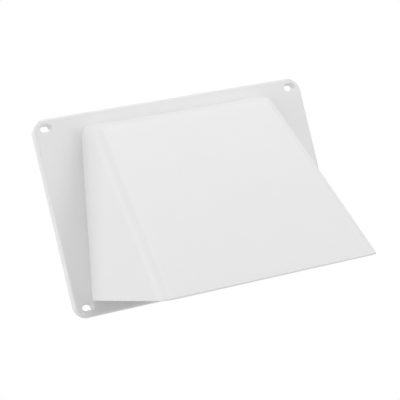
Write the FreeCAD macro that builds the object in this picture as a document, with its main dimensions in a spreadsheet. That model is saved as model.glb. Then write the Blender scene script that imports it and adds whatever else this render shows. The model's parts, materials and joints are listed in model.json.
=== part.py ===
"""White plastic dryer vent cap: a one-piece moulded hood and wall flange, a duct collar set into
its back, a gravity damper flap and the pin that the flap swings on.

Frame, in millimetres: the flange's back lies on the wall plane Y = 0, the hood stands out towards
-Y, X runs across the width, Z is up, and the origin is the centre of the flange's back.
"depth" below is the distance in front of the wall plane.
"""
import FreeCAD, Part
import math
import os
import Sketcher

SIZES = {
    # flange
    "flange_side": 14.3,            # flange beyond the hood's mouth, each side
    "flange_depth": 4.0,            # wall plane to the flange's front face
    "flange_corner_radius": 10.0,
    "flange_edge_radius": 1.8,
    "flange_skirt": 2.4,            # rim that stands on the wall round the hollow back
    "back_recess": 1.8,             # hollow behind the flange
    # screw slots
    "screw_inset_across": 9.9,
    "screw_inset_up": 7.0,
    "screw_slot_height": 4.0,
    "screw_slot_length": 7.6,
    "countersink": 1.35,
    "screw_pad_radius": 5.4,
    # hood
    "wall": 2.2,
    "hood_top_inset": 9.4,          # flange's top edge to the hood's top at the wall
    "mouth_sill": 11.0,             # flange's bottom edge to the mouth
    "hood_top_width": 156.0,        # across the hood at the wall, at its top
    "hood_mouth_width": 201.0,      # across the hood at the wall, at its mouth
    "side_draft": 8.2,              # degrees that the sides lean in towards the front
    "top_draft": 7.5,               # degrees that the top falls towards the front
    "panel_top_depth": 20.5,        # front panel's upper edge
    "lip_depth": 82.4,              # front panel's lower lip
    "lip_drop": 2.7,                # lip below the flange's bottom edge
    "crown_radius": 11.0,           # edge between the top and the front panel
    "side_radius": 8.5,             # edges round the sides
    "lip_radius": 0.8,
    # duct collar
    "collar_diameter": 99.5,        # slips inside a duct of 102 mm bore
    "collar_wall": 2.0,
    "collar_length": 40.0,          # behind the wall plane
    "collar_lead": 3.0,             # length of the tapered end
    "collar_taper": 1.0,            # how far the tapered end goes in
    "throat_plate": 1.6,
    "throat_margin": 6.0,           # plate beyond the hood's back opening
    "throat_corner_radius": 3.0,
    "fit_gap": 0.3,
    "seat_lip": 0.8,                # seat ring outside the collar
    "seat_height": 5.2,             # seat ring in front of the plate
    "sill_clearance": 2.3,          # seat ring to the mouth's sill
    # damper flap and its hinge
    "flap_overlap": 2.5,            # flap beyond the seat ring
    "flap_thickness": 1.6,
    "flap_rim_height": 1.6,
    "flap_rim_width": 1.6,
    "seat_gap": 0.3,
    "hinge_headroom": 11.1,         # hinge axis to the hood's ceiling at the wall
    "knuckle_radius": 2.6,
    "knuckle_gap": 0.3,             # knuckle to the plate and to the seat ring
    "knuckle_length": 9.0,
    "pin_diameter": 2.5,
    "pin_clearance": 0.07,          # on the radius, in the flap's knuckles
    "ear_radius": 2.9,
    "ear_width": 3.2,
    "ear_gap": 0.4,                 # flap to each ear
}


def size(name):
    """The expression that reads one driving size."""
    return f"sizes.{name}"


def total(*terms):
    """The expression that adds several expressions up."""
    return "(" + " + ".join(terms) + ")"


# Places that several pieces share, worked out from the driving sizes.
SEAT_RADIUS = f"({size('collar_diameter')} / 2 + {size('seat_lip')})"
BORE_RADIUS = f"({size('collar_diameter')} / 2 - {size('collar_wall')})"
FLAP_RADIUS = total(SEAT_RADIUS, size("flap_overlap"))
FLANGE_WIDTH = f"({size('hood_mouth_width')} + 2 * {size('flange_side')})"
FLANGE_HEIGHT = total(
    size("hood_top_inset"), size("wall"), size("hinge_headroom"), size("knuckle_radius"),
    size("knuckle_gap"), f"2 * {SEAT_RADIUS}", size("sill_clearance"), size("mouth_sill"))
HOOD_TOP = f"({FLANGE_HEIGHT} / 2 - {size('hood_top_inset')})"
SILL = f"({FLANGE_HEIGHT} / 2 - {size('mouth_sill')})"
LIP = f"({FLANGE_HEIGHT} / 2 + {size('lip_drop')})"
CEILING = f"({HOOD_TOP} - {size('wall')})"
HINGE_UP = f"({CEILING} - {size('hinge_headroom')})"
HINGE_DEPTH = total(size("back_recess"), size("knuckle_gap"), size("knuckle_radius"))
DUCT_DROP = f"({SEAT_RADIUS} + {size('knuckle_gap')} + {size('knuckle_radius')} - {HINGE_UP})"
SEAT_DEPTH = total(size("back_recess"), size("seat_height"))
FLAP_BACK = total(SEAT_DEPTH, size("seat_gap"))
FLAP_FRONT = total(FLAP_BACK, size("flap_thickness"), size("flap_rim_height"))
EAR_INNER = total(FLAP_RADIUS, size("ear_gap"))
SCREW_ACROSS = f"({FLANGE_WIDTH} / 2 - {size('screw_inset_across')})"
SCREW_UP = f"({FLANGE_HEIGHT} / 2 - {size('screw_inset_up')})"

# Slopes of the hood: sides that spread downwards, and a front panel that leans out.
FLARE = f"(({size('hood_mouth_width')} - {size('hood_top_width')}) / 2 / ({HOOD_TOP} + {SILL}))"
PANEL_RUN = f"({size('lip_depth')} - {size('panel_top_depth')})"
PANEL_DROP = f"({HOOD_TOP} - {size('panel_top_depth')} * tan({size('top_draft')}) + {LIP})"
PANEL_LEAN = f"atan({PANEL_RUN} / {PANEL_DROP})"

# The block that the hood is cut from reaches past its lip.
BLOCK_DEPTH = total(size("lip_depth"), size("panel_top_depth"))
BLOCK_FOOT = total(LIP, size("panel_top_depth"))


def half_width(depth, drop, inset):
    """Half the hood's width at a depth and at a drop below its top, inset from the outside."""
    lean_in = f"tan({size('side_draft')}) * ({depth})"
    return f"({size('hood_top_width')} / 2 + {FLARE} * ({drop}) - {lean_in} - ({inset}))"


doc = FreeCAD.newDocument("dryer_vent_cap")
sheet = doc.addObject("Spreadsheet::Sheet", "sizes")
for row, (alias, value) in enumerate(SIZES.items(), start=1):
    sheet.set(f"A{row}", alias.replace("_", " "))
    sheet.set(f"B{row}", str(value))
    sheet.setAlias(f"B{row}", alias)
doc.recompute()

TOUCH = 1e-4                            # two points closer than this are the same point
ROUGHLY = math.cos(math.radians(25))    # a face that looks within 25 degrees of a direction
UP, DOWN = (0, 0, 1), (0, 0, -1)
SIDES_FACING = ((-1, 0, 0), (1, 0, 0))
PANEL_FACING = (0, -1, 0.5)             # forward and a little up


def new_body(label):
    body = doc.addObject("PartDesign::Body", label)
    body.Label = label
    return body


def origin_plane(body, role):
    return next(item for item in body.Origin.OriginFeatures if item.Role == role)


def new_sketch(body, name, role, offset=None):
    """A sketch on one of the body's own planes, moved by expressions for its local x, y and z."""
    sketch = body.newObject("Sketcher::SketchObject", name)
    sketch.AttachmentSupport = (origin_plane(body, role), [""])
    sketch.MapMode = "FlatFace"
    for axis, expression in (offset or {}).items():
        sketch.setExpression(f"AttachmentOffset.Base.{axis}", expression)
    return sketch


def value(expression):
    """What an expression of the driving sizes comes to now."""
    return float(sheet.evalExpression(expression))


def point(across, up):
    return FreeCAD.Vector(value(across), value(up), 0)


def arc(centre, radius, first_turn, last_turn):
    round_line = Part.Circle(centre, FreeCAD.Vector(0, 0, 1), radius)
    return Part.ArcOfCircle(round_line, first_turn, last_turn)


def dimension(sketch, kind, place, expression):
    """One driving constraint, bound to an expression."""
    index = sketch.addConstraint(Sketcher.Constraint(kind, *place, value(expression)))
    sketch.setExpression(f"Constraints[{index}]", expression)


def polygon(sketch, points):
    """A closed polygon whose corners are pairs of (positive or negative) distance expressions."""
    count = len(points)
    corners = [point(*place) for place in points]
    first = sketch.GeometryCount
    for place in range(count):
        sketch.addGeometry(Part.LineSegment(corners[place], corners[(place + 1) % count]))
    for place in range(count):
        following = first + (place + 1) % count
        sketch.addConstraint(Sketcher.Constraint("Coincident", first + place, 2, following, 1))
    for place, (across, up) in enumerate(points):
        dimension(sketch, "DistanceX", (-1, 1, first + place, 1), across)
        dimension(sketch, "DistanceY", (-1, 1, first + place, 1), up)


def trapezoid(sketch, top, half_top, bottom, half_bottom):
    """A trapezoid that is symmetric about the sketch's vertical axis."""
    polygon(sketch, [(half_top, top), (f"-{half_top}", top),
                     (f"-{half_bottom}", bottom), (half_bottom, bottom)])


def rounded_rectangle(sketch, half_across, half_up, radius):
    """A rectangle about the sketch's origin with round corners."""
    centres = [(f"{across}({half_across} - {radius})", f"{up}({half_up} - {radius})")
               for across, up in zip(("", "-", "-", ""), ("", "", "-", "-"))]
    quarter = math.pi / 2
    corners = [sketch.addGeometry(arc(point(*centre), value(radius), quarter * turn, quarter * (turn + 1)))
               for turn, centre in enumerate(centres)]
    for turn, corner in enumerate(corners):
        following = corners[(turn + 1) % len(corners)]
        run = Part.LineSegment(sketch.getPoint(corner, 2), sketch.getPoint(following, 1))
        side = sketch.addGeometry(run)
        sketch.addConstraint(Sketcher.Constraint("Tangent", corner, 2, side, 1))
        sketch.addConstraint(Sketcher.Constraint("Tangent", side, 2, following, 1))
    for corner in corners[1:]:
        sketch.addConstraint(Sketcher.Constraint("Equal", corners[0], corner))
    for corner, (across, up) in zip(corners, centres):
        dimension(sketch, "DistanceX", (-1, 1, corner, 3), across)
        dimension(sketch, "DistanceY", (-1, 1, corner, 3), up)
    dimension(sketch, "Radius", (corners[0],), radius)


def circle(sketch, across, up, radius):
    index = sketch.addGeometry(Part.Circle(point(across, up), FreeCAD.Vector(0, 0, 1), value(radius)))
    dimension(sketch, "DistanceX", (-1, 1, index, 3), across)
    dimension(sketch, "DistanceY", (-1, 1, index, 3), up)
    dimension(sketch, "Radius", (index,), radius)


def round_ended(sketch, across, up, radius, reach, lean):
    """An outline with one straight end and one half-round end.

    The half round has its centre at (across, up); the straight sides run from it by reach
    along the direction lean, one of +x, -x and +y of the sketch.
    """
    along = {"+x": (1, 0), "-x": (-1, 0), "+y": (0, 1)}[lean]
    heading = math.atan2(along[1], along[0])
    centre = point(across, up)
    run = FreeCAD.Vector(*along, 0) * value(reach)
    side = FreeCAD.Vector(-along[1], along[0], 0) * value(radius)
    round_end = sketch.addGeometry(arc(centre, value(radius), heading + math.pi / 2,
                                       heading + 3 * math.pi / 2))
    left = sketch.addGeometry(Part.LineSegment(centre + side, centre + side + run))
    end = sketch.addGeometry(Part.LineSegment(centre + side + run, centre - side + run))
    right = sketch.addGeometry(Part.LineSegment(centre - side + run, centre - side))
    sketch.addConstraint(Sketcher.Constraint("Tangent", round_end, 1, left, 1))
    sketch.addConstraint(Sketcher.Constraint("Coincident", left, 2, end, 1))
    sketch.addConstraint(Sketcher.Constraint("Coincident", end, 2, right, 1))
    sketch.addConstraint(Sketcher.Constraint("Tangent", right, 2, round_end, 2))
    level = "Horizontal" if along[1] == 0 else "Vertical"
    square = "Vertical" if along[1] == 0 else "Horizontal"
    sketch.addConstraint(Sketcher.Constraint(level, left))
    sketch.addConstraint(Sketcher.Constraint(level, right))
    sketch.addConstraint(Sketcher.Constraint(square, end))
    dimension(sketch, "DistanceX", (-1, 1, round_end, 3), across)
    dimension(sketch, "DistanceY", (-1, 1, round_end, 3), up)
    dimension(sketch, "Radius", (round_end,), radius)
    dimension(sketch, "Distance", (left,), reach)


def slot(sketch, across, up, height, length):
    """A slot along the sketch's x, centred at (across, up)."""
    near_end = f"{across} - ({length} - {height}) / 2"
    far_end = f"{across} + ({length} - {height}) / 2"
    radius = f"{height} / 2"
    rise = FreeCAD.Vector(0, value(radius), 0)
    near_centre = point(near_end, up)
    far_centre = point(far_end, up)
    near = sketch.addGeometry(arc(near_centre, value(radius), math.pi / 2, 3 * math.pi / 2))
    far = sketch.addGeometry(arc(far_centre, value(radius), -math.pi / 2, math.pi / 2))
    upper = sketch.addGeometry(Part.LineSegment(far_centre + rise, near_centre + rise))
    lower = sketch.addGeometry(Part.LineSegment(near_centre - rise, far_centre - rise))
    sketch.addConstraint(Sketcher.Constraint("Tangent", far, 2, upper, 1))
    sketch.addConstraint(Sketcher.Constraint("Tangent", upper, 2, near, 1))
    sketch.addConstraint(Sketcher.Constraint("Tangent", near, 2, lower, 1))
    sketch.addConstraint(Sketcher.Constraint("Tangent", lower, 2, far, 1))
    sketch.addConstraint(Sketcher.Constraint("Horizontal", upper))
    sketch.addConstraint(Sketcher.Constraint("Equal", near, far))
    dimension(sketch, "Radius", (near,), radius)
    dimension(sketch, "DistanceX", (-1, 1, near, 3), near_end)
    dimension(sketch, "DistanceX", (-1, 1, far, 3), far_end)
    dimension(sketch, "DistanceY", (-1, 1, near, 3), up)


def pad(body, name, sketch, length, other_way=None):
    """A block on the sketch, by one length along its normal and perhaps another the other way."""
    feature = body.newObject("PartDesign::Pad", name)
    feature.Profile = sketch
    feature.setExpression("Length", length)
    if other_way:
        feature.SideType = "Two sides"
        feature.setExpression("Length2", other_way)
    doc.recompute()
    return feature


def pocket(body, name, sketch, length, along_normal=False, both_ways=False):
    """A cut from the sketch's plane: against its normal, along it, or half of it each way."""
    before = body.Shape.Volume
    feature = body.newObject("PartDesign::Pocket", name)
    feature.Profile = sketch
    feature.Reversed = along_normal
    feature.SideType = "Symmetric" if both_ways else "One side"
    feature.setExpression("Length", length)
    doc.recompute()
    if body.Shape.Volume >= before:
        raise RuntimeError(f"{name} cuts nothing")
    return feature


def edge_names(shape, edges):
    """The names of some of a shape's edges."""
    return [f"Edge{number}" for number, edge in enumerate(shape.Edges, start=1)
            if any(edge.isSame(wanted) for wanted in edges)]


def face_names(shape, faces):
    """The names of some of a shape's faces."""
    return [f"Face{number}" for number, face in enumerate(shape.Faces, start=1)
            if any(face.isSame(wanted) for wanted in faces)]


def dress(body, kind, name, edges, prop, expression):
    """A fillet or a chamfer on edges of the body."""
    base = body.Tip
    feature = body.newObject(f"PartDesign::{kind}", name)
    feature.Base = (base, edge_names(base.Shape, edges))
    feature.setExpression(prop, expression)
    doc.recompute()
    return feature


def mirror(body, name, feature):
    """The same feature again on the other side of the middle plane X = 0."""
    copy = body.newObject("PartDesign::Mirrored", name)
    copy.Originals = [feature]
    copy.MirrorPlane = (origin_plane(body, "YZ_Plane"), [""])
    body.Tip = copy
    doc.recompute()
    return copy


def face_towards(shape, direction):
    """The largest face that looks roughly along a direction at its middle."""
    wanted = FreeCAD.Vector(*direction).normalize()
    alike = []
    for face in shape.Faces:
        first_u, last_u, first_v, last_v = face.ParameterRange
        middle = face.normalAt((first_u + last_u) / 2, (first_v + last_v) / 2)
        if middle.dot(wanted) > ROUGHLY:
            alike.append(face)
    return max(alike, key=lambda face: face.Area)


def shared_edges(one, other):
    return [edge for edge in one.Edges if any(edge.isSame(match) for match in other.Edges)]


def at_depth(shape, depth):
    """Whether an edge or a face lies wholly in the plane at one depth."""
    return shape.BoundBox.YLength < TOUCH and abs(shape.BoundBox.YMax + depth) < TOUCH


def front_at(shape, depth):
    """The largest face in the plane at one depth."""
    return max((face for face in shape.Faces if at_depth(face, depth)), key=lambda face: face.Area)


def hood_form(body, prefix, inset, crown, side):
    """The hood's outside, or with an inset the hollow in it: drafted sides and rounded edges.

    A block that narrows away from the wall gets sides that spread downwards; one cut through its
    side view leaves the drafted top, the leaning front panel and the sloping mouth. The crown is
    rounded first, so that one round edge then runs over the top and down the panel on each side.
    """
    spare = size("panel_top_depth")
    at_wall = half_width("0", HOOD_TOP, inset)
    at_front = half_width(BLOCK_DEPTH, HOOD_TOP, inset)
    plan = new_sketch(body, prefix + "_plan", "XY_Plane")
    polygon(plan, [(at_wall, "0"), (f"-{at_wall}", "0"),
                   (f"-{at_front}", f"-{BLOCK_DEPTH}"), (at_front, f"-{BLOCK_DEPTH}")])
    block = pad(body, prefix + "_block", plan, total(HOOD_TOP, spare), BLOCK_FOOT)
    sides = [face_towards(block.Shape, facing) for facing in SIDES_FACING]
    flare = body.newObject("PartDesign::Draft", prefix + "_flare")
    flare.Base = (block, face_names(block.Shape, sides))
    flare.NeutralPlane = (origin_plane(body, "XY_Plane"), [""])
    flare.setExpression("Angle", f"atan({FLARE} * cos({size('side_draft')}))")
    doc.recompute()

    top_at_wall = f"({HOOD_TOP} - {inset})"
    step_back = (f"(1 / cos({PANEL_LEAN}) - tan({PANEL_LEAN}))"
                 f" / (1 - tan({PANEL_LEAN}) * tan({size('top_draft')}))")
    panel_top = f"({size('panel_top_depth')} - {inset} * {step_back})"
    top_at_panel = f"({top_at_wall} - {panel_top} * tan({size('top_draft')}))"
    side_view = new_sketch(body, prefix + "_side_view", "YZ_Plane")
    polygon(side_view, [
        ("0", top_at_wall),
        (f"-{panel_top}", top_at_panel),
        (f"-({panel_top} + {PANEL_RUN})", f"{top_at_panel} - {PANEL_DROP}"),
        ("0", f"-{SILL}"),
        ("0", f"-({BLOCK_FOOT} + {spare})"),
        (f"-({BLOCK_DEPTH} + {spare})", f"-({BLOCK_FOOT} + {spare})"),
        (f"-({BLOCK_DEPTH} + {spare})", f"{HOOD_TOP} + 2 * {spare}"),
        ("0", f"{HOOD_TOP} + 2 * {spare}")])
    trim = pocket(body, prefix + "_trim", side_view, f"2 * {FLANGE_WIDTH}", both_ways=True)
    crown_edge = shared_edges(face_towards(trim.Shape, UP), face_towards(trim.Shape, PANEL_FACING))
    crowned = dress(body, "Fillet", prefix + "_crown", crown_edge, "Radius", crown)
    mouth = face_towards(crowned.Shape, DOWN)
    outlines = []
    for facing in SIDES_FACING:
        flank = face_towards(crowned.Shape, facing)
        open_edges = shared_edges(flank, mouth)
        outlines += [edge for edge in flank.Edges if not at_depth(edge, 0)
                     and not any(edge.isSame(low) for low in open_edges)]
    dress(body, "Fillet", prefix + "_side_edges", outlines, "Radius", side)


def make_hood():
    """The one-piece moulding: the hood, and the wall flange with its hollow back and screw slots."""
    body = new_body("hood")
    hood_form(body, "hood", "0", size("crown_radius"), size("side_radius"))
    half_across = f"{FLANGE_WIDTH} / 2"
    half_up = f"{FLANGE_HEIGHT} / 2"
    corner = size("flange_corner_radius")
    skirt = size("flange_skirt")
    plate = new_sketch(body, "flange_outline", "XZ_Plane")
    rounded_rectangle(plate, half_across, half_up, corner)
    pad(body, "flange", plate, size("flange_depth"))
    flange_front = front_at(body.Tip.Shape, SIZES["flange_depth"])
    dress(body, "Fillet", "flange_edge", flange_front.OuterWire.Edges, "Radius", size("flange_edge_radius"))
    hollow = new_sketch(body, "back_outline", "XZ_Plane")
    rounded_rectangle(hollow, f"({half_across} - {skirt})", f"({half_up} - {skirt})",
                      f"max({corner} - {skirt}; {skirt} / 4)")
    pocket(body, "back_hollow", hollow, size("back_recess"), along_normal=True)
    pads = new_sketch(body, "screw_pad_outlines", "XZ_Plane")
    slots = []
    for across in (SCREW_ACROSS, f"-{SCREW_ACROSS}"):
        for up in (SCREW_UP, f"-{SCREW_UP}"):
            circle(pads, across, up, size("screw_pad_radius"))
            slots.append((across, up))
    pad(body, "screw_pads", pads, total(size("back_recess"), size("flange_depth")) + " / 2")

    core = new_body("hood_core")
    inner_radius = "max({outer} - " + size("wall") + "; " + size("wall") + " / 4)"
    hood_form(core, "core", size("wall"), inner_radius.format(outer=size("crown_radius")),
              inner_radius.format(outer=size("side_radius")))
    hollow_hood = body.newObject("PartDesign::Boolean", "hood_hollow")
    hollow_hood.Type = "Cut"
    hollow_hood.setObjects([core])
    doc.recompute()

    openings = new_sketch(body, "screw_slot_outlines", "XZ_Plane", {"z": size("flange_depth")})
    for across, up in slots:
        slot(openings, across, up, size("screw_slot_height"), size("screw_slot_length"))
    pocket(body, "screw_slots", openings, size("flange_depth"))
    flange_front = front_at(body.Tip.Shape, SIZES["flange_depth"])
    rims = [edge for wire in flange_front.Wires if wire.BoundBox.DiagonalLength < SIZES["flange_side"]
            for edge in wire.Edges]
    dress(body, "Chamfer", "countersinks", rims, "Size", size("countersink"))
    panel = face_towards(body.Tip.Shape, PANEL_FACING)
    lip = min(panel.Edges, key=lambda edge: edge.CenterOfMass.z)
    dress(body, "Fillet", "lip", [lip], "Radius", size("lip_radius"))
    return body


def make_duct_collar():
    """Throat plate in the flange's hollow back, with the duct collar behind and the damper's seat
    ring and hinge ears in front."""
    body = new_body("duct_collar")
    back = f"({size('back_recess')} - {size('throat_plate')})"
    plate = new_sketch(body, "throat_outline", "XZ_Plane", {"z": back})
    margin = f"({size('wall')} - {size('throat_margin')})"
    trapezoid(plate,
              total(CEILING, size("throat_margin")), half_width("0", size("wall"), margin),
              f"-{total(SILL, size('throat_margin'))}", half_width("0", f"{HOOD_TOP} + {SILL}", margin))
    circle(plate, "0", f"-{DUCT_DROP}", BORE_RADIUS)
    pad(body, "throat_plate", plate, size("throat_plate"))
    corners = [edge for edge in body.Tip.Shape.Edges if edge.BoundBox.YLength > TOUCH
               and isinstance(edge.Curve, Part.Line) and len(edge.Vertexes) == 2
               and abs(edge.Vertexes[0].Point.x) > SIZES["collar_diameter"] / 2]
    dress(body, "Fillet", "throat_corners", corners, "Radius", size("throat_corner_radius"))

    notches = new_sketch(body, "pad_notch_outlines", "XZ_Plane", {"z": size("back_recess")})
    for across in (SCREW_ACROSS, f"-{SCREW_ACROSS}"):
        circle(notches, across, f"-{SCREW_UP}", total(size("screw_pad_radius"), size("fit_gap")))
    pocket(body, "pad_notches", notches, size("throat_plate"))

    section = new_sketch(body, "collar_section", "YZ_Plane", {"y": f"-{DUCT_DROP}"})
    collar_radius = f"({size('collar_diameter')} / 2)"
    polygon(section, [
        (f"-{SEAT_DEPTH}", BORE_RADIUS),
        (f"-{SEAT_DEPTH}", SEAT_RADIUS),
        (f"-{back}", SEAT_RADIUS),
        (f"-{back}", collar_radius),
        (f"{size('collar_length')} - {size('collar_lead')}", collar_radius),
        (size("collar_length"), f"{collar_radius} - {size('collar_taper')}"),
        (size("collar_length"), BORE_RADIUS)])
    collar = body.newObject("PartDesign::Revolution", "collar_and_seat")
    collar.Profile = section
    collar.ReferenceAxis = (section, ["H_Axis"])
    doc.recompute()

    ear = new_sketch(body, "ear_outline", "YZ_Plane", {"z": EAR_INNER})
    reach = f"({HINGE_DEPTH} - {size('back_recess')} + {size('throat_plate')} / 2)"
    round_ended(ear, f"-{HINGE_DEPTH}", HINGE_UP, size("ear_radius"), reach, "+x")
    circle(ear, f"-{HINGE_DEPTH}", HINGE_UP, f"({size('pin_diameter')} / 2)")
    mirror(body, "other_ear", pad(body, "hinge_ear", ear, size("ear_width")))
    return body


def make_damper_flap():
    """Light flap with a half-round foot and a stiffening rim, hung by two knuckles behind it."""
    body = new_body("damper_flap")
    top_reach = f"({HINGE_UP} + {size('knuckle_radius')} + {DUCT_DROP})"
    outline = new_sketch(body, "flap_outline", "XZ_Plane", {"z": FLAP_BACK})
    round_ended(outline, "0", f"-{DUCT_DROP}", FLAP_RADIUS, top_reach, "+y")
    pad(body, "flap", outline, total(size("flap_thickness"), size("flap_rim_height")))
    tray = new_sketch(body, "tray_outline", "XZ_Plane", {"z": FLAP_FRONT})
    rim = size("flap_rim_width")
    round_ended(tray, "0", f"-{DUCT_DROP}", f"({FLAP_RADIUS} - {rim})", f"({top_reach} - {rim})", "+y")
    pocket(body, "flap_tray", tray, size("flap_rim_height"))
    inner_end = f"({FLAP_RADIUS} - {size('knuckle_length')})"
    knuckle = new_sketch(body, "knuckle_outline", "YZ_Plane", {"z": inner_end})
    reach = f"({FLAP_BACK} + {size('flap_thickness')} / 2 - {HINGE_DEPTH})"
    round_ended(knuckle, f"-{HINGE_DEPTH}", HINGE_UP, size("knuckle_radius"), reach, "-x")
    circle(knuckle, f"-{HINGE_DEPTH}", HINGE_UP,
           f"({size('pin_diameter')} / 2 + {size('pin_clearance')})")
    mirror(body, "other_knuckle", pad(body, "hinge_knuckle", knuckle, size("knuckle_length")))
    return body


def make_hinge_pin():
    """Straight steel pin, held in both ears of the collar."""
    half_length = total(EAR_INNER, size("ear_width"))
    pin = doc.addObject("Part::Cylinder", "hinge_pin")
    pin.Label = "hinge_pin"
    pin.setExpression("Radius", f"{size('pin_diameter')} / 2")
    pin.setExpression("Height", f"2 * {half_length}")
    along_x = FreeCAD.Rotation(FreeCAD.Vector(0, 1, 0), 90)
    pin.Placement = FreeCAD.Placement(FreeCAD.Vector(0, 0, 0), along_x)
    pin.setExpression("Placement.Base.x", f"-{half_length}")
    pin.setExpression("Placement.Base.y", f"-{HINGE_DEPTH}")
    pin.setExpression("Placement.Base.z", HINGE_UP)
    return pin


pieces = [make_hood(), make_duct_collar(), make_damper_flap(), make_hinge_pin()]
doc.recompute()

for item in doc.Objects:
    if {"Invalid", "Error"} & set(item.State):
        raise RuntimeError(f"{item.Label} failed: {item.State}")
for piece in pieces:
    if piece.Shape.isNull() or not piece.Shape.isValid() or len(piece.Shape.Solids) != 1:
        raise RuntimeError(f"{piece.Label} is not one sound solid")

os.makedirs("parts", exist_ok=True)
for piece in pieces:
    piece.Shape.exportStep(f"parts/{piece.Label}.step")
    box = piece.Shape.BoundBox
    print(f"{piece.Label}: {piece.Shape.Volume / 1000:.2f} cm3, "
          f"X {box.XMin:.2f} to {box.XMax:.2f}, Y {box.YMin:.2f} to {box.YMax:.2f}, "
          f"Z {box.ZMin:.2f} to {box.ZMax:.2f}")
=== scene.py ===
"""Looks of a white plastic dryer vent cap: its finishes, a plain studio stage and the camera.

The file is laid out as an add-on. Sizes, colours and lamp strengths are properties, each group of
like pieces has an operator, and the panel in the 3D view's sidebar lists them.
Lengths are metres in the cap's own frame: the wall is the plane Y = 0, +Z is up.
"""
import json
import math

import bpy
import numpy as np
from mathutils import Matrix, Vector

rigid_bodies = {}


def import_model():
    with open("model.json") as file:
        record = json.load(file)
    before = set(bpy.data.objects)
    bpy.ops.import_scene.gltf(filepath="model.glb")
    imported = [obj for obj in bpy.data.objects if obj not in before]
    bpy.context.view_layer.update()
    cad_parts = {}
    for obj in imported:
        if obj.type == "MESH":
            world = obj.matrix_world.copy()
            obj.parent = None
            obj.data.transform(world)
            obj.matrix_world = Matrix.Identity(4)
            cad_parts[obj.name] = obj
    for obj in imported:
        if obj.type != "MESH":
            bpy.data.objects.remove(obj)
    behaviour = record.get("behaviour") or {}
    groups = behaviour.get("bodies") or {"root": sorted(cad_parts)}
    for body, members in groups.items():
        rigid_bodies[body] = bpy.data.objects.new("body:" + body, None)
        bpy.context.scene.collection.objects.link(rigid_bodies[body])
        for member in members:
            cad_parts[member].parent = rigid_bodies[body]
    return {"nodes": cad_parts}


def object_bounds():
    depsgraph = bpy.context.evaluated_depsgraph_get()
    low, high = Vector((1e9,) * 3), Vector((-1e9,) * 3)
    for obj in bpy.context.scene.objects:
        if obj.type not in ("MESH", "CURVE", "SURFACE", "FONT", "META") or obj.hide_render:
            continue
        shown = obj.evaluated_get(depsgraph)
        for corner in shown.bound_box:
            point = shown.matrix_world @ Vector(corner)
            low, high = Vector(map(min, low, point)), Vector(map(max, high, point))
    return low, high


for leftover in list(bpy.data.objects):
    bpy.data.objects.remove(leftover)
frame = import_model()        # nodes of the construction model, each under its body's empty in rigid_bodies
CAD_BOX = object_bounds()
LOWEST, HIGHEST = CAD_BOX

bl_info = {
    "name": "Dryer vent cap",
    "version": (1, 0, 0),
    "blender": (4, 5, 0),
    "location": "View3D > Sidebar > Vent cap",
    "description": "Finishes the vent cap's mouldings and hinge pin and sets up its stage",
    "category": "Object",
}

WHITE_MOULDINGS = ("hood", "duct_collar", "damper_flap")
WHITE = (1.0, 1.0, 1.0, 1.0)

# moulded plastic
PLASTIC_IOR = 1.49
GRAIN_DETAIL = 3.0            # octaves of the etched grain
SINK_DETAIL = 1.0             # octaves of the sink waves
SHEEN_SPREAD = 0.12           # roughness from the grain's lowest to its highest points
TINT_SPREAD = 0.02            # share of the tint, from the sink waves' lowest to highest points

# drawn steel
LINE_SCALE = (60.0, 4000.0, 4000.0)    # lines per metre along X, the pin's axis, and across it
LINE_DETAIL = 2.0
LINE_DEPTH = 0.00001
STEEL_ROUGHNESS = 0.2         # on the smoothest lines
STEEL_SPREAD = 0.25           # roughness from the smoothest lines to the roughest

# stage
FLOOR_STEPS = 9               # points along each side of the floor
FLOOR_ROUGHNESS = 0.9
LAMPS = (
    # name, azimuth and elevation in degrees, property with its power
    ("right_high_panel", 40.0, 60.0, "right_high_power"),
    ("right_low_panel", 40.0, 0.0, "right_low_power"),
    ("left_front_panel", -60.0, 0.0, "left_front_power"),
    ("left_low_panel", -85.0, 0.0, "left_low_power"),
    ("left_back_panel", -105.0, 30.0, "left_back_power"),
    ("back_panel", 180.0, 30.0, "back_power"),
)


class CapFinish(bpy.types.PropertyGroup):
    """Colours and surface of the cap's pieces."""

    hood_white: bpy.props.FloatVectorProperty(
        name="Hood white", description="Colour of the hood's plastic", subtype="COLOR",
        size=4, min=0.0, max=1.0, default=(0.83, 0.83, 0.83, 1.0))
    inner_white: bpy.props.FloatVectorProperty(
        name="Inner white", description="Colour of the collar's and the flap's plastic",
        subtype="COLOR", size=4, min=0.0, max=1.0, default=(0.79, 0.79, 0.785, 1.0))
    steel: bpy.props.FloatVectorProperty(
        name="Steel", description="Colour of the hinge pin", subtype="COLOR",
        size=4, min=0.0, max=1.0, default=(0.56, 0.57, 0.58, 1.0))
    satin: bpy.props.FloatProperty(
        name="Satin", description="Mean roughness of the moulded skin", subtype="FACTOR",
        min=0.0, max=1.0, default=0.41)
    grain_size: bpy.props.FloatProperty(
        name="Grain size", description="Width of the mould's fine etched grain", unit="LENGTH",
        min=0.0001, max=0.01, default=0.0007)
    grain_depth: bpy.props.FloatProperty(
        name="Grain depth", description="Height of the etched grain", unit="LENGTH",
        min=0.0, max=0.001, default=0.000008)
    sink_size: bpy.props.FloatProperty(
        name="Sink size", description="Width of the slow waves that cooling leaves in flat walls",
        unit="LENGTH", min=0.005, max=0.2, default=0.035)
    sink_depth: bpy.props.FloatProperty(
        name="Sink depth", description="Height of those slow waves", unit="LENGTH",
        min=0.0, max=0.001, default=0.00004)


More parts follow.
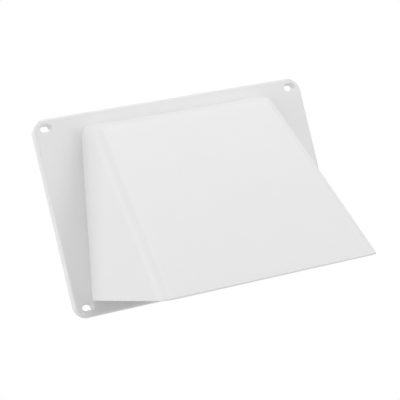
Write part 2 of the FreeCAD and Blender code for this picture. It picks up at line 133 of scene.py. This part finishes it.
class CapStage(bpy.types.PropertyGroup):
    """Floor, light and camera."""

    floor_drop: bpy.props.FloatProperty(
        name="Floor drop", description="Floor below the cap's lowest point", unit="LENGTH",
        min=0.0, max=4.0, default=1.8)
    floor_side: bpy.props.FloatProperty(
        name="Floor side", description="Side of the square floor", unit="LENGTH",
        min=0.5, max=20.0, default=8.0)
    floor_white: bpy.props.FloatVectorProperty(
        name="Floor white", description="Colour of the floor", subtype="COLOR",
        size=4, min=0.0, max=1.0, default=(0.9, 0.9, 0.9, 1.0))
    floor_lift: bpy.props.FloatProperty(
        name="Floor lift",
        description="White that the floor shows in the picture and in reflections beside its light",
        min=0.0, max=1.0, default=0.6)
    ambient: bpy.props.FloatProperty(
        name="Ambient", description="Strength of the even light from all round",
        min=0.0, max=2.0, default=0.4)
    lamp_distance: bpy.props.FloatProperty(
        name="Lamp distance", description="Soft panels from the cap", unit="LENGTH",
        min=0.2, max=5.0, default=1.6)
    panel_side: bpy.props.FloatProperty(
        name="Panel side", description="Side of each square soft panel", unit="LENGTH",
        min=0.1, max=4.0, default=1.0)
    right_high_power: bpy.props.FloatProperty(
        name="Right high power", description="Power of the panel high on the right", unit="POWER",
        min=0.0, max=200.0, default=10.1)
    right_low_power: bpy.props.FloatProperty(
        name="Right low power", description="Power of the level panel on the right", unit="POWER",
        min=0.0, max=200.0, default=6.3)
    left_front_power: bpy.props.FloatProperty(
        name="Left front power", description="Power of the level panel at the front left",
        unit="POWER", min=0.0, max=200.0, default=4.5)
    left_low_power: bpy.props.FloatProperty(
        name="Left low power", description="Power of the level panel on the left", unit="POWER",
        min=0.0, max=200.0, default=4.7)
    left_back_power: bpy.props.FloatProperty(
        name="Left back power", description="Power of the panel at the back left", unit="POWER",
        min=0.0, max=200.0, default=5.1)
    back_power: bpy.props.FloatProperty(
        name="Back power", description="Power of the panel behind", unit="POWER",
        min=0.0, max=200.0, default=10.0)
    azimuth: bpy.props.FloatProperty(
        name="Azimuth", description="Camera round the cap, towards its left where negative",
        unit="ROTATION", default=-0.5851)
    elevation: bpy.props.FloatProperty(
        name="Elevation", description="Camera above the horizon", unit="ROTATION", default=-0.0569)
    roll: bpy.props.FloatProperty(
        name="Roll", description="Turn of the camera about its line of sight", unit="ROTATION",
        default=-0.2334)
    distance: bpy.props.FloatProperty(
        name="Distance", description="Camera from the frame's origin, along its line of sight",
        unit="LENGTH", default=1.6605)
    shift_right: bpy.props.FloatProperty(
        name="Shift right", description="The cap moved to the right in the picture", unit="LENGTH",
        default=-0.00758)
    shift_up: bpy.props.FloatProperty(
        name="Shift up", description="The cap moved up in the picture", unit="LENGTH",
        default=0.00403)
    lens: bpy.props.FloatProperty(
        name="Lens", description="Focal length on a 36 mm sensor", unit="CAMERA", default=209.8)


def new_material(name):
    """An empty node material; returns it with its tree and its principled shader."""
    material = bpy.data.materials.new(name)
    material.use_nodes = True
    tree = material.node_tree
    tree.nodes.clear()
    output = tree.nodes.new("ShaderNodeOutputMaterial")
    shader = tree.nodes.new("ShaderNodeBsdfPrincipled")
    tree.links.new(shader.outputs["BSDF"], output.inputs["Surface"])
    return material, tree, shader


def math_node(tree, operation, *values):
    """One math node on sockets or numbers, in the order of its inputs."""
    node = tree.nodes.new("ShaderNodeMath")
    node.operation = operation
    for place, value in enumerate(values):
        if isinstance(value, (int, float)):
            node.inputs[place].default_value = value
        else:
            tree.links.new(value, node.inputs[place])
    return node.outputs["Value"]


def noise(tree, vector, size_socket, detail):
    """Fractal noise whose features are about as wide as the size that feeds it."""
    scale = math_node(tree, "DIVIDE", 1.0, size_socket)
    texture = tree.nodes.new("ShaderNodeTexNoise")
    texture.inputs["Detail"].default_value = detail
    tree.links.new(vector, texture.inputs["Vector"])
    tree.links.new(scale, texture.inputs["Scale"])
    return texture.outputs["Fac"]


def moulded_skin():
    """Node group for moulded plastic: etched grain, slow sink waves and a faint mottle."""
    group = bpy.data.node_groups.new("moulded_skin", "ShaderNodeTree")
    for name, kind in (("Tint", "NodeSocketColor"), ("Roughness", "NodeSocketFloat"),
                       ("Grain Size", "NodeSocketFloat"), ("Grain Depth", "NodeSocketFloat"),
                       ("Sink Size", "NodeSocketFloat"), ("Sink Depth", "NodeSocketFloat")):
        group.interface.new_socket(name=name, in_out="INPUT", socket_type=kind)
    for name, kind in (("Color", "NodeSocketColor"), ("Roughness", "NodeSocketFloat"),
                       ("Height", "NodeSocketFloat")):
        group.interface.new_socket(name=name, in_out="OUTPUT", socket_type=kind)
    given = group.nodes.new("NodeGroupInput")
    result = group.nodes.new("NodeGroupOutput")
    place = group.nodes.new("ShaderNodeTexCoord").outputs["Object"]

    grain = noise(group, place, given.outputs["Grain Size"], GRAIN_DETAIL)
    sink = noise(group, place, given.outputs["Sink Size"], SINK_DETAIL)
    grain_height = math_node(group, "MULTIPLY", grain, given.outputs["Grain Depth"])
    sink_height = math_node(group, "MULTIPLY", sink, given.outputs["Sink Depth"])
    height = math_node(group, "ADD", grain_height, sink_height)
    group.links.new(height, result.inputs["Height"])

    sheen_change = math_node(group, "MULTIPLY_ADD", grain, SHEEN_SPREAD, -SHEEN_SPREAD / 2)
    roughness = math_node(group, "ADD", given.outputs["Roughness"], sheen_change)
    group.links.new(roughness, result.inputs["Roughness"])

    shade = math_node(group, "MULTIPLY_ADD", sink, TINT_SPREAD, 1.0 - TINT_SPREAD / 2)
    tint = group.nodes.new("ShaderNodeVectorMath")
    tint.operation = "SCALE"
    group.links.new(given.outputs["Tint"], tint.inputs[0])
    group.links.new(shade, tint.inputs["Scale"])
    group.links.new(tint.outputs["Vector"], result.inputs["Color"])
    return group


def white_plastic(name, tint, finish):
    """Satin white moulded plastic on the shared skin."""
    material, tree, shader = new_material(name)
    skin = tree.nodes.new("ShaderNodeGroup")
    skin.node_tree = bpy.data.node_groups.get("moulded_skin") or moulded_skin()
    skin.inputs["Tint"].default_value = tint
    skin.inputs["Roughness"].default_value = finish.satin
    skin.inputs["Grain Size"].default_value = finish.grain_size
    skin.inputs["Grain Depth"].default_value = finish.grain_depth
    skin.inputs["Sink Size"].default_value = finish.sink_size
    skin.inputs["Sink Depth"].default_value = finish.sink_depth
    bump = tree.nodes.new("ShaderNodeBump")
    bump.inputs["Distance"].default_value = 1.0
    tree.links.new(skin.outputs["Height"], bump.inputs["Height"])
    tree.links.new(skin.outputs["Color"], shader.inputs["Base Color"])
    tree.links.new(skin.outputs["Roughness"], shader.inputs["Roughness"])
    tree.links.new(bump.outputs["Normal"], shader.inputs["Normal"])
    shader.inputs["IOR"].default_value = PLASTIC_IOR
    return material


def drawn_steel(name, tint):
    """Drawn wire: bright steel with fine lines along X, the pin's axis."""
    material, tree, shader = new_material(name)
    place = tree.nodes.new("ShaderNodeTexCoord").outputs["Object"]
    stretch = tree.nodes.new("ShaderNodeMapping")
    stretch.inputs["Scale"].default_value = LINE_SCALE
    tree.links.new(place, stretch.inputs["Vector"])
    lines = tree.nodes.new("ShaderNodeTexNoise")
    lines.inputs["Scale"].default_value = 1.0
    lines.inputs["Detail"].default_value = LINE_DETAIL
    tree.links.new(stretch.outputs["Vector"], lines.inputs["Vector"])
    roughness = math_node(tree, "MULTIPLY_ADD", lines.outputs["Fac"], STEEL_SPREAD, STEEL_ROUGHNESS)
    tree.links.new(roughness, shader.inputs["Roughness"])
    bump = tree.nodes.new("ShaderNodeBump")
    bump.inputs["Distance"].default_value = LINE_DEPTH
    tree.links.new(lines.outputs["Fac"], bump.inputs["Height"])
    tree.links.new(bump.outputs["Normal"], shader.inputs["Normal"])
    shader.inputs["Base Color"].default_value = tint
    shader.inputs["Metallic"].default_value = 1.0
    return material


def wear(node, material):
    """Gives a node of the construction model its finish."""
    piece = frame["nodes"][node]
    piece.data.materials.clear()
    piece.data.materials.append(material)


def mesh_from_grid(name, points):
    """A mesh object from a grid of points, rows x columns x 3, as quads."""
    rows, columns = points.shape[:2]
    corner = (np.arange(rows - 1)[:, None] * columns + np.arange(columns - 1)[None, :]).ravel()
    faces = np.stack([corner, corner + columns, corner + columns + 1, corner + 1], axis=1)
    mesh = bpy.data.meshes.new(name)
    mesh.from_pydata(points.reshape(-1, 3), [], faces)
    mesh.update()
    thing = bpy.data.objects.new(name, mesh)
    bpy.context.scene.collection.objects.link(thing)
    return thing


def floor_grid(side, height):
    """Level square: rows step evenly along X and columns along Y, all at one height."""
    along = np.linspace(-side / 2, side / 2, FLOOR_STEPS)
    across, deep = np.meshgrid(along, along, indexing="ij")
    return np.stack([across, deep, np.full_like(across, height)], axis=2)


def seen_directly(tree):
    """1 for rays from the camera and for reflected and refracted ones, 0 for diffuse ones."""
    rays = tree.nodes.new("ShaderNodeLightPath").outputs
    seen = math_node(tree, "MAXIMUM", rays["Is Camera Ray"], rays["Is Transmission Ray"])
    return math_node(tree, "MAXIMUM", seen, rays["Is Glossy Ray"])


def add_floor(stage):
    """Pale floor well below the cap, which keeps the cap's shadow."""
    floor = mesh_from_grid("floor", floor_grid(stage.floor_side, LOWEST.z - stage.floor_drop))
    material, tree, shader = new_material("floor_paper")
    shader.inputs["Base Color"].default_value = stage.floor_white
    shader.inputs["Roughness"].default_value = FLOOR_ROUGHNESS
    shader.inputs["Emission Color"].default_value = WHITE
    lift = math_node(tree, "MULTIPLY", seen_directly(tree), stage.floor_lift)
    tree.links.new(lift, shader.inputs["Emission Strength"])
    floor.data.materials.append(material)


def direction(azimuth, elevation):
    """Unit vector towards a place at that azimuth and elevation; azimuth 0 is in front, at -Y."""
    return Vector((math.sin(azimuth) * math.cos(elevation),
                   -math.cos(azimuth) * math.cos(elevation), math.sin(elevation)))


def add_lamps(stage):
    """Large soft panels that face the cap."""
    middle = (LOWEST + HIGHEST) / 2
    for name, azimuth, elevation, power in LAMPS:
        lamp = bpy.data.lights.new(name, "AREA")
        lamp.shape = "SQUARE"
        lamp.size = stage.panel_side
        lamp.energy = getattr(stage, power)
        panel = bpy.data.objects.new(name, lamp)
        towards = direction(math.radians(azimuth), math.radians(elevation))
        panel.location = middle + stage.lamp_distance * towards
        panel.rotation_euler = towards.to_track_quat("Z", "Y").to_euler()
        bpy.context.scene.collection.objects.link(panel)


def add_world(stage):
    """Even light, and plain white to the camera and in reflections."""
    world = bpy.data.worlds.new("studio")
    world.use_nodes = True
    tree = world.node_tree
    tree.nodes.clear()
    output = tree.nodes.new("ShaderNodeOutputWorld")
    background = tree.nodes.new("ShaderNodeBackground")
    seen = seen_directly(tree)
    strength = math_node(tree, "MULTIPLY_ADD", seen, 1.0 - stage.ambient, stage.ambient)
    tree.links.new(strength, background.inputs["Strength"])
    tree.links.new(background.outputs["Background"], output.inputs["Surface"])
    background.inputs["Color"].default_value = WHITE
    bpy.context.scene.world = world


def add_camera(stage):
    """Camera that looks at the cap from the given side, turned about its line of sight."""
    towards = direction(stage.azimuth, stage.elevation)
    level = Vector((math.cos(stage.azimuth), math.sin(stage.azimuth), 0.0))
    upright = towards.cross(level)
    right = math.cos(stage.roll) * level + math.sin(stage.roll) * upright
    up = math.cos(stage.roll) * upright - math.sin(stage.roll) * level
    data = bpy.data.cameras.new("camera")
    data.lens = stage.lens
    camera = bpy.data.objects.new("camera", data)
    place = stage.distance * towards - stage.shift_right * right - stage.shift_up * up
    turn = Matrix((right, up, towards)).transposed().to_4x4()
    camera.matrix_world = Matrix.Translation(place) @ turn
    bpy.context.scene.collection.objects.link(camera)
    bpy.context.scene.camera = camera


class CAP_OT_mouldings(bpy.types.Operator):
    """Give the hood, the duct collar and the damper flap their white moulded skin"""

    bl_idname = "cap.mouldings"
    bl_label = "White mouldings"

    def execute(self, context):
        finish = context.scene.cap_finish
        for node in WHITE_MOULDINGS:
            tint = finish.hood_white if node == "hood" else finish.inner_white
            wear(node, white_plastic(node + "_white", tint, finish))
        return {"FINISHED"}


class CAP_OT_pin(bpy.types.Operator):
    """Give the hinge pin its drawn steel"""

    bl_idname = "cap.pin"
    bl_label = "Hinge pin"

    def execute(self, context):
        wear("hinge_pin", drawn_steel("hinge_pin_steel", context.scene.cap_finish.steel))
        return {"FINISHED"}


class CAP_OT_stage(bpy.types.Operator):
    """Set up the floor, the soft panels, the even light and the camera"""

    bl_idname = "cap.stage"
    bl_label = "Stage"

    def execute(self, context):
        stage = context.scene.cap_stage
        add_floor(stage)
        add_lamps(stage)
        add_world(stage)
        add_camera(stage)
        context.scene.view_settings.view_transform = "Standard"
        return {"FINISHED"}


class CAP_PT_panel(bpy.types.Panel):
    """The cap's operators and settings"""

    bl_idname = "CAP_PT_panel"
    bl_label = "Dryer vent cap"
    bl_space_type = "VIEW_3D"
    bl_region_type = "UI"
    bl_category = "Vent cap"

    def draw(self, context):
        for operator in OPERATORS:
            self.layout.operator(operator.bl_idname)
        for settings in (context.scene.cap_finish, context.scene.cap_stage):
            box = self.layout.box()
            for name in settings.__annotations__:
                box.prop(settings, name)


OPERATORS = (CAP_OT_mouldings, CAP_OT_pin, CAP_OT_stage)
CLASSES = (CapFinish, CapStage) + OPERATORS + (CAP_PT_panel,)


def register():
    """Adds the classes, and the two groups of settings to the scene."""
    for item in CLASSES:
        bpy.utils.register_class(item)
    bpy.types.Scene.cap_finish = bpy.props.PointerProperty(type=CapFinish)
    bpy.types.Scene.cap_stage = bpy.props.PointerProperty(type=CapStage)


def unregister():
    """Takes out what register adds."""
    del bpy.types.Scene.cap_stage
    del bpy.types.Scene.cap_finish
    for item in reversed(CLASSES):
        bpy.utils.unregister_class(item)


def main():
    """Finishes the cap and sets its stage."""
    register()
    bpy.ops.cap.mouldings()
    bpy.ops.cap.pin()
    bpy.ops.cap.stage()


if __name__ == "__main__":
    main()
